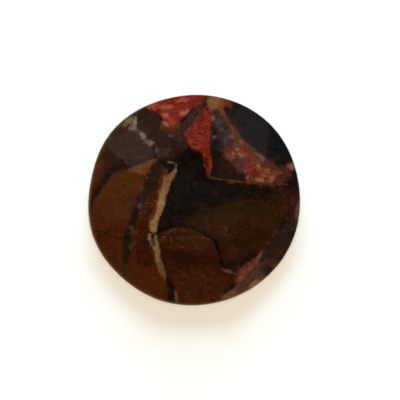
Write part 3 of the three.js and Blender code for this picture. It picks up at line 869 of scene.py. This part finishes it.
paint("pink_streak", along([
    (6.4, -4.95, 0.08), (6.17, -5.3, 0.18), (5.85, -5.7, 0.25), (5.5, -6.02, 0.33), (5.02, -6.45, 0.42),
    (4.64, -6.92, 0.45), (4.35, -7.4, 0.36), (4.1, -7.85, 0.16)]),
    ((84, 33, 20), (114, 64, 48)), mottle=FINE[1], ragged=0.35, soft=0.16)
paint("pink_streak_side", spots(
    (4.0, -7.05, 0.5, 0.22, 25), (4.3, -6.55, 0.25, 0.2, 60), (6.5, -4.7, 0.25, 0.12, 60)),
    ((78, 43, 28), (62, 30, 20)), mottle=FINE[0], ragged=0.3, soft=0.2, strength=0.8)
paint("pink_streak_red", spots((5.5, -5.85, 0.4, 0.17, 45), (4.98, -6.3, 0.3, 0.14, 45)),
    ((78, 17, 7), (96, 30, 16)), mottle=FINE[0], ragged=0.3, soft=0.14, strength=0.8)
paint("pink_streak_low", spots((4.62, -6.85, 0.3, 0.2, 60)),
    ((106, 40, 28), (118, 58, 44)), mottle=FINE[0], ragged=0.3, soft=0.14, strength=0.85)
paint("pink_streak_pale", spots(
    (6.2, -5.25, 0.26, 0.13, 50), (4.42, -7.4, 0.3, 0.15, 60), (5.25, -6.5, 0.25, 0.1, 45),
    (5.9, -5.85, 0.15, 0.1, 60)),
    ((104, 72, 57),), ragged=0.25, soft=0.14, strength=0.8)
paint("dark_patch", spots(
    (4.55, -5.9, 0.32, 0.2, 50), (5.05, -5.5, 0.5, 0.28, 25), (5.6, -5.25, 0.35, 0.15, 20)),
    ((16, 10, 9), (22, 11, 7)), ragged=0.3, soft=0.14, strength=0.9)
paint("olive_patch", spots((3.5, -6.2, 0.5, 0.3, 20)),
    ((30, 16, 3),), ragged=0.35, soft=0.2, strength=0.75)
paint("brown_patch", spots((3.6, -4.9, 0.7, 0.6, 60), (3.1, -3.6, 0.3, 0.2, 0)),
    ((56, 24, 11), (44, 20, 7)), ragged=0.5, soft=0.3, strength=0.8)
paint("pale_streak", along([
    (2.7, -6.45, 0.06), (3.0, -6.65, 0.13), (3.35, -6.75, 0.12), (3.55, -6.8, 0.1), (3.75, -6.87, 0.03)]),
    ((112, 80, 66), (92, 60, 46)), mottle=FINE[0], ragged=0.15, soft=0.1, strength=0.9)
paint("dark_diagonal", along([
    (2.8, -8.8, 0.08), (3.2, -8.4, 0.14), (3.7, -8.05, 0.12), (4.0, -7.85, 0.05)]),
    ((27, 12, 7),), ragged=0.15, soft=0.1, strength=0.9)

# The left side: a dark band at the rim and a dark vein beside the cream one
paint("left_rim_red", inside([
    (-9.3, 0.9), (-8.9, 1.9), (-8.45, 2.7), (-8.4, 3.3), (-9.0, 3.8), (-10.2, 3.4), (-11.5, 1.0),
    (-10.4, 0.2)]),
    ((74, 36, 14), (64, 30, 10)), ragged=0.4, soft=0.4, strength=0.9)
paint("dark_band", along([
    (-10.2, -1.2, 0.1), (-9.85, -0.5, 0.16), (-9.65, 0.0, 0.2), (-9.35, 0.5, 0.25), (-9.0, 1.0, 0.26),
    (-8.65, 1.55, 0.28), (-8.33, 2.03, 0.3), (-7.95, 2.5, 0.3), (-7.3, 2.95, 0.26), (-6.7, 3.08, 0.24),
    (-6.1, 3.1, 0.12)]),
    ((25, 13, 5), (31, 17, 10)), ragged=0.2, soft=0.12)
paint("dark_band_grey", spots((-7.96, 2.62, 0.25, 0.18, 30), (-9.05, 0.95, 0.2, 0.16, 50)),
    ((24, 18, 15),), ragged=0.2, soft=0.12, strength=0.75)
paint("lilac_line", along([(-6.4, 3.5, 0.1), (-5.8, 3.45, 0.14), (-5.0, 3.5, 0.1), (-4.4, 3.75, 0.05)]),
    ((44, 30, 24), (34, 20, 12)), mottle=FINE[0], ragged=0.15, soft=0.1, strength=0.85)
paint("orange_tip", inside([
    (-6.2, 2.75), (-5.3, 2.5), (-4.6, 2.4), (-4.1, 3.05), (-3.55, 3.72), (-4.0, 3.8), (-4.7, 3.4),
    (-5.4, 3.2)]),
    ((86, 44, 14), (94, 54, 30)), ragged=0.2, soft=0.12, strength=0.85)
paint("orange_tip_grey", spots((-3.72, 3.62, 0.3, 0.14, 40)),
    ((60, 42, 28),), ragged=0.15, soft=0.12, strength=0.8)
paint("dark_vein", along([
    (-3.45, 3.15, 0.45), (-3.6, 2.5, 0.5), (-3.92, 2.0, 0.5), (-4.2, 1.5, 0.46), (-4.45, 1.0, 0.42),
    (-4.75, 0.5, 0.42), (-4.97, 0.0, 0.46), (-5.1, -0.5, 0.4), (-5.35, -1.0, 0.4), (-5.5, -1.5, 0.36),
    (-5.68, -2.0, 0.36), (-5.9, -2.5, 0.34), (-6.12, -3.0, 0.32), (-6.3, -4.0, 0.34), (-6.32, -5.0, 0.38),
    (-6.48, -6.0, 0.24), (-6.6, -7.0, 0.2), (-6.8, -9.5, 0.2)]),
    ((19, 12, 6), (32, 21, 13)), mottle=PATCHY[1], ragged=0.3, soft=0.17)
paint("dark_vein_pale", spots(
    (-5.15, -0.5, 0.22, 0.3, 20), (-5.78, -3.0, 0.16, 0.3, 0), (-5.4, -3.05, 0.07, 0.16, 0),
    (-5.9, -2.55, 0.2, 0.16, 60), (-6.0, -4.4, 0.14, 0.3, 0), (-5.6, -4.0, 0.1, 0.2, 0)),
    ((70, 52, 40), (54, 40, 32)), mottle=FINE[0], ragged=0.3, soft=0.14, strength=0.85)
paint("dark_vein_side", spots(
    (-6.15, -1.5, 0.2, 0.4, -10), (-4.85, 1.0, 0.25, 0.2, 0), (-6.1, -0.3, 0.2, 0.3, -20)),
    ((54, 37, 24),), ragged=0.35, soft=0.2, strength=0.6)
paint("dark_vein_foot", spots((-6.5, -6.5, 0.3, 0.7, -5), (-6.2, -7.4, 0.5, 0.3, 0)),
    ((62, 42, 20), (54, 34, 14)), ragged=0.3, soft=0.25, strength=0.75)
paint("dark_vein_brown", spots(
    (-4.6, 1.9, 0.25, 0.5, 20), (-3.6, 3.0, 0.3, 0.35, 0), (-4.2, 0.5, 0.12, 0.5, -30)),
    ((38, 20, 6),), ragged=0.3, soft=0.2, strength=0.7)

# The cream vein, in two limbs that the crack parts, with broken white bits beside them
OVER_VEIN = 0.04

paint("golden_edge", along([
    (-2.45, 2.95, 0.1), (-2.8, 2.6, 0.15), (-3.0, 2.2, 0.17), (-3.15, 1.8, 0.17), (-3.28, 1.4, 0.17),
    (-3.38, 1.0, 0.18), (-3.42, 0.5, 0.17), (-3.48, 0.0, 0.17), (-3.62, -0.5, 0.18), (-3.72, -1.0, 0.16),
    (-3.9, -1.5, 0.14), (-4.1, -2.0, 0.1)]),
    ((66, 24, 0), (56, 17, 0)), ragged=0.12, soft=0.08)
cream = along([
    (-1.92, 2.6, 0.14), (-2.15, 2.3, 0.22), (-2.42, 1.95, 0.28), (-2.6, 1.5, 0.3), (-2.75, 1.1, 0.31),
    (-2.88, 0.7, 0.31), (-2.98, 0.2, 0.32), (-3.05, -0.2, 0.31), (-3.15, -0.6, 0.3), (-3.28, -1.0, 0.26),
    (-3.42, -1.4, 0.24), (-3.62, -1.8, 0.26), (-3.76, -2.2, 0.3), (-3.84, -2.6, 0.34),
    (-3.8, -2.95, 0.26)])
paint("cream_vein", cream, ((128, 90, 38), (98, 64, 26)), mottle=FINE[2], ragged=0.25, soft=0.1)
paint("cream_vein_pink", spots((-3.1, -0.4, 0.2, 0.35, 10), (-3.5, -1.6, 0.16, 0.3, 20)),
    ((134, 98, 66),), ragged=0.2, soft=0.14, strength=0.7)
paint("cream_vein_head", np.minimum(cream + OVER_VEIN, spots((-2.4, 1.75, 0.5, 0.95, -15))),
    ((102, 64, 30), (82, 52, 20)), mottle=FINE[2], ragged=0.25, soft=0.15, strength=0.75)
paint("cream_limb", spots(
    (-2.32, 3.5, 0.2, 0.12, 0), (-1.93, 3.46, 0.12, 0.08, -10), (-1.68, 3.2, 0.1, 0.17, 0),
    (-1.76, 2.85, 0.09, 0.2, -10)),
    ((112, 88, 68), (62, 46, 32)), mottle=FINE[0], ragged=0.25, soft=0.12, strength=0.9)
paint("cream_limb_dark", spots(
    (-2.1, 3.1, 0.22, 0.22, 0), (-1.93, 3.74, 0.3, 0.13, -5), (-1.4, 2.75, 0.1, 0.2, 0),
    (-2.25, 2.85, 0.2, 0.1, -20)),
    ((22, 13, 1), (13, 8, 5)), mottle=FINE[0], ragged=0.12, soft=0.1, strength=0.9)
foot_path = along([
    (-3.6, -3.35, 0.13), (-3.56, -3.7, 0.15), (-3.5, -4.1, 0.18), (-3.55, -4.5, 0.23),
    (-3.47, -4.85, 0.21), (-3.42, -5.3, 0.2), (-3.35, -5.7, 0.21), (-3.2, -6.1, 0.23),
    (-3.08, -6.5, 0.22), (-2.88, -6.9, 0.19), (-2.7, -7.2, 0.1)])
paint("cream_foot", foot_path, ((132, 104, 68), (110, 80, 48)), mottle=FINE[1], ragged=0.25, soft=0.12)
paint("cream_foot_end", np.minimum(foot_path + OVER_VEIN, spots((-3.0, -6.55, 0.4, 0.85, 15))),
    ((98, 66, 46), (70, 42, 25)), mottle=FINE[2], ragged=0.3, soft=0.2, strength=0.75)
paint("cream_stain", spots(
    (-2.5, 2.25, 0.1, 0.1, 0), (-2.45, 1.75, 0.12, 0.1, 70), (-2.9, 0.5, 0.1, 0.05, 0),
    (-2.6, 0.1, 0.06, 0.1, 0), (-3.1, -0.5, 0.12, 0.05, 20), (-3.35, -1.3, 0.09, 0.06, 0),
    (-3.5, -2.1, 0.08, 0.08, 0), (-4.0, -2.4, 0.1, 0.07, 40), (-3.6, -4.3, 0.1, 0.04, 0),
    (-3.45, -4.95, 0.06, 0.08, 0), (-3.35, -5.45, 0.1, 0.04, 10), (-3.2, -5.95, 0.07, 0.07, 0),
    (-3.0, -6.6, 0.1, 0.04, 30)),
    ((60, 36, 13), (48, 29, 9)), mottle=FINE[0], ragged=0.15, soft=0.07, strength=0.7)
paint("white_bits_dim", along([
    (-5.6, 7.5, 0.1), (-5.65, 7.0, 0.16), (-5.5, 6.55, 0.14), (-5.1, 6.28, 0.13), (-4.8, 5.95, 0.16),
    (-4.6, 5.65, 0.12), (-4.2, 5.4, 0.14)]),
    ((84, 68, 54), (58, 43, 33)), mottle=FINE[1], ragged=0.4, soft=0.2, strength=0.85)
paint("white_bits", spots(
    (-5.57, 7.35, 0.17, 0.38, 0), (-5.76, 6.82, 0.28, 0.2, 30), (-4.85, 6.03, 0.22, 0.15, -60),
    (-4.15, 5.42, 0.28, 0.19, -45), (-4.13, -3.4, 0.34, 0.14, 85), (-3.98, -4.1, 0.1, 0.09, 0)),
    ((140, 120, 102), (100, 84, 72)), mottle=FINE[0], ragged=0.4, soft=0.2, strength=0.85)
paint("flecks", spots((1.77, 7.72, 0.16, 0.22, 10), (1.92, 5.9, 0.17, 0.11, 0)),
    ((112, 76, 60), (92, 64, 54)), mottle=FINE[0], ragged=0.15, soft=0.1, strength=0.9)
paint("cream_rim", spots((-6.25, 7.55, 0.42, 0.34, 30), (-6.5, 7.3, 0.3, 0.16, 50)),
    ((122, 98, 64), (94, 74, 50)), mottle=FINE[2], ragged=0.35, soft=0.18, strength=0.85)
paint("rim_olive", along([
    (-10.0, 0.6, 0.16), (-9.85, 1.8, 0.2), (-9.5, 3.1, 0.22), (-8.9, 4.5, 0.24), (-8.0, 6.0, 0.24),
    (-7.0, 7.15, 0.2), (-5.9, 8.1, 0.18), (-4.7, 8.85, 0.14), (-3.0, 9.55, 0.08)]),
    ((64, 58, 24), (54, 44, 18)), ragged=0.3, soft=0.25, strength=0.55)

# The near side: a short dark vein at the rim, the cracks, and small dots over all the fields
paint("near_vein", along([
    (-2.55, -7.2, 0.06), (-2.32, -7.6, 0.16), (-2.12, -8.05, 0.28), (-2.1, -8.5, 0.32),
    (-2.18, -9.0, 0.34), (-2.25, -9.4, 0.36), (-2.35, -11.0, 0.38)]),
    ((21, 10, 9), (27, 15, 14)), ragged=0.15, soft=0.11)
paint("near_vein_pale", along([
    (-1.8, -8.6, 0.04), (-1.67, -9.0, 0.1), (-1.68, -9.5, 0.08), (-1.8, -10.6, 0.05)]),
    ((96, 78, 66),), ragged=0.08, soft=0.09, strength=0.85)
# A pale brown line along the lower side of the crack: a painted highlight on that edge of the crack
paint("crack_edge_highlight", along([
    (-2.65, -3.1, 0.04), (-2.35, -2.95, 0.1), (-1.76, -2.79, 0.13), (-1.35, -2.8, 0.12),
    (-0.7, -2.88, 0.08), (-0.2, -3.0, 0.02)]),
    ((55, 30, 17), (46, 22, 10)), mottle=BROAD[1], ragged=0.06, soft=0.1, strength=0.8)
paint("vein_end_dark", spots(
    (-3.02, -2.82, 0.28, 0.16, 15), (-3.9, -3.4, 0.12, 0.12, 0), (2.3, -4.3, 0.12, 0.3, 0),
    (2.65, -5.75, 0.1, 0.35, 0)),
    ((15, 10, 5),), ragged=0.12, soft=0.1, strength=0.85)
paint("cracks", np.maximum.reduce([
    along([
        (-3.4, -3.05, 0.07), (-3.1, -2.8, 0.12), (-2.75, -2.68, 0.09), (-2.3, -2.5, 0.06),
        (-1.6, -2.42, 0.065), (-1.0, -2.42, 0.06), (-0.5, -2.5, 0.05), (0.1, -2.68, 0.05),
        (0.6, -2.95, 0.055), (1.0, -3.2, 0.06), (1.4, -3.5, 0.06), (1.8, -3.65, 0.07), (2.02, -3.9, 0.11),
        (2.08, -4.3, 0.13), (2.2, -4.7, 0.05),
    ]),
    along([
        (2.28, -4.75, 0.02), (2.4, -5.1, 0.03), (2.47, -5.5, 0.04), (2.6, -5.85, 0.1), (2.65, -6.1, 0.1),
        (2.75, -6.45, 0.03),
    ]),
    along([
        (-4.35, -2.95, 0.05), (-4.1, -3.05, 0.09), (-3.87, -3.1, 0.06), (-3.45, -3.05, 0.05),
        (-3.15, -3.0, 0.04),
    ]),
    along([
        (-3.85, -3.2, 0.05), (-3.9, -3.5, 0.05), (-3.92, -3.85, 0.03),
    ]),
    along([
        (-9.4, -2.95, 0.03), (-8.6, -2.95, 0.04), (-8.1, -3.18, 0.045), (-7.6, -3.45, 0.04),
        (-7.0, -3.6, 0.03), (-6.5, -3.62, 0.02),
    ]),
]),
    ((6, 2, 0), (10, 4, 1)), ragged=0.05, soft=0.06)
paint("faint_crack", along([
    (-6.5, -3.62, 0.03), (-5.9, -3.75, 0.03), (-5.0, -3.88, 0.03), (-4.2, -3.92, 0.02)]),
    ((18, 9, 4),), ragged=0.05, soft=0.07, strength=0.5)
paint("red_dots", spots(
    (-2.0, -3.2, 0.14, 0.1, 0), (-1.1, -3.3, 0.12, 0.08, 30), (-2.3, -3.55, 0.1, 0.08, 0),
    (-0.3, -7.1, 0.14, 0.1, 0), (0.1, -7.25, 0.12, 0.08, 20), (0.5, -7.8, 0.14, 0.1, 0),
    (0.3, -8.0, 0.1, 0.1, 0), (0.8, -7.5, 0.12, 0.08, -20), (-3.75, 0.3, 0.1, 0.3, -10),
    (5.5, -1.5, 0.2, 0.12, 0), (2.2, -2.6, 0.2, 0.12, 20), (3.2, -3.5, 0.16, 0.12, 0),
    (-7.9, -5.4, 0.2, 0.14, 0), (-4.85, -2.5, 0.14, 0.12, 0), (-5.2, -3.4, 0.12, 0.14, 0)),
    ((60, 14, 4),), ragged=0.2, soft=0.12, strength=0.6)
paint("pink_dots", spots(
    (6.9, -3.95, 0.3, 0.2, 0), (1.45, -3.75, 0.16, 0.07, -30), (1.72, -4.05, 0.09, 0.16, 10),
    (2.0, -4.88, 0.1, 0.14, 0), (-4.46, -0.36, 0.13, 0.12, 0), (-4.36, -0.03, 0.11, 0.08, 0),
    (7.6, -1.3, 0.12, 0.08, 0)),
    ((57, 27, 14),), ragged=0.12, soft=0.1, strength=0.8)

# Towards the near left the very edge is painted paler and golden: a painted rim of light, strongest there
# and fading in from the edge
EDGE_WIDTH = 0.17
EDGE_EVEN = 0.35
EDGE_AZIMUTH = 225.0
EDGE_DEPTH_SHARE = 3.0

azimuth = np.arctan2(place[:, 1], place[:, 0])
gap = np.interp(azimuth, turn, rim, period=2.0 * math.pi) - np.hypot(place[:, 0], place[:, 1])
rim_light_reach = EDGE_WIDTH * (EDGE_EVEN + (1.0 - EDGE_EVEN) * np.cos(azimuth - math.radians(EDGE_AZIMUTH)))
# painted light: the rim's last fraction of a millimetre lightened on the near-left side
paint("painted_rim_light", rim_light_reach - gap - EDGE_DEPTH_SHARE * depth,
    ((132, 99, 60), (118, 84, 44)), ragged=0.08, soft=0.1, strength=0.6)

# A last fine grain over everything. It is added to the colours at the 1/2.2 power, as the eye sees them,
# so that it shows as much on the dark fields as on the pale veins.
GRAIN_STEPS = ((GRIT[0], 0.036), (FINE[1], 0.031), (PATCHY[2], 0.026))
GRAIN_SHARES = (0.9, 1.0, 1.25)
EYE_POWER = 2.2

speck = reckon(jasper.node_tree, "MULTIPLY_ADD", GRAIN_STEPS[0][0], GRAIN_STEPS[0][1],
               -0.5 * sum(step for _, step in GRAIN_STEPS))
for noise, step in GRAIN_STEPS[1:]:
    speck = reckon(jasper.node_tree, "MULTIPLY_ADD", noise, step, speck)
seen = nodes.new("ShaderNodeGamma")
seen.inputs["Gamma"].default_value = 1.0 / EYE_POWER
links.new(colour, seen.inputs["Color"])
specks = nodes.new("ShaderNodeCombineXYZ")
for socket, share in zip(specks.inputs, GRAIN_SHARES):
    links.new(reckon(jasper.node_tree, "MULTIPLY", speck, share), socket)
grained = nodes.new("ShaderNodeVectorMath")
grained.operation = "ADD"
links.new(seen.outputs["Color"], grained.inputs[0])
links.new(specks.outputs["Vector"], grained.inputs[1])
positive = nodes.new("ShaderNodeVectorMath")
positive.operation = "MAXIMUM"
links.new(grained.outputs["Vector"], positive.inputs[0])
stone_colour = nodes.new("ShaderNodeGamma")
stone_colour.inputs["Gamma"].default_value = EYE_POWER
links.new(positive.outputs["Vector"], stone_colour.inputs["Color"])
links.new(stone_colour.outputs["Color"], surface.inputs["Base Color"])

# Only the top is polished. The wall, the bevel and the back are as the grinding wheel left them.
POLISHED_TO = 0.03
POLISH_ROUGHNESS = 0.15
GROUND_ROUGHNESS = 0.8
GLOSS = 0.5
GROUND_GLOSS = 0.0

ground = stone_mesh.attributes.new("ground", "FLOAT", "POINT")
ground.data.foreach_set("value", np.clip(depth / POLISHED_TO - 1.0, 0.0, 1.0).astype(np.float32))
read = nodes.new("ShaderNodeAttribute")
read.attribute_name = "ground"
for socket, polished, dull in (
    ("Roughness", POLISH_ROUGHNESS, GROUND_ROUGHNESS),
    ("Specular IOR Level", GLOSS, GROUND_GLOSS),
):
    value = reckon(jasper.node_tree, "MULTIPLY_ADD", read.outputs["Fac"], dull - polished, polished)
    links.new(value, surface.inputs[socket])
surface.inputs["IOR"].default_value = 1.54
stone_mesh.materials.append(jasper)

stone = bpy.data.objects.new("jasper_round", stone_mesh)
bpy.context.scene.collection.objects.link(stone)
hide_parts("stone")
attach(stone, "root")
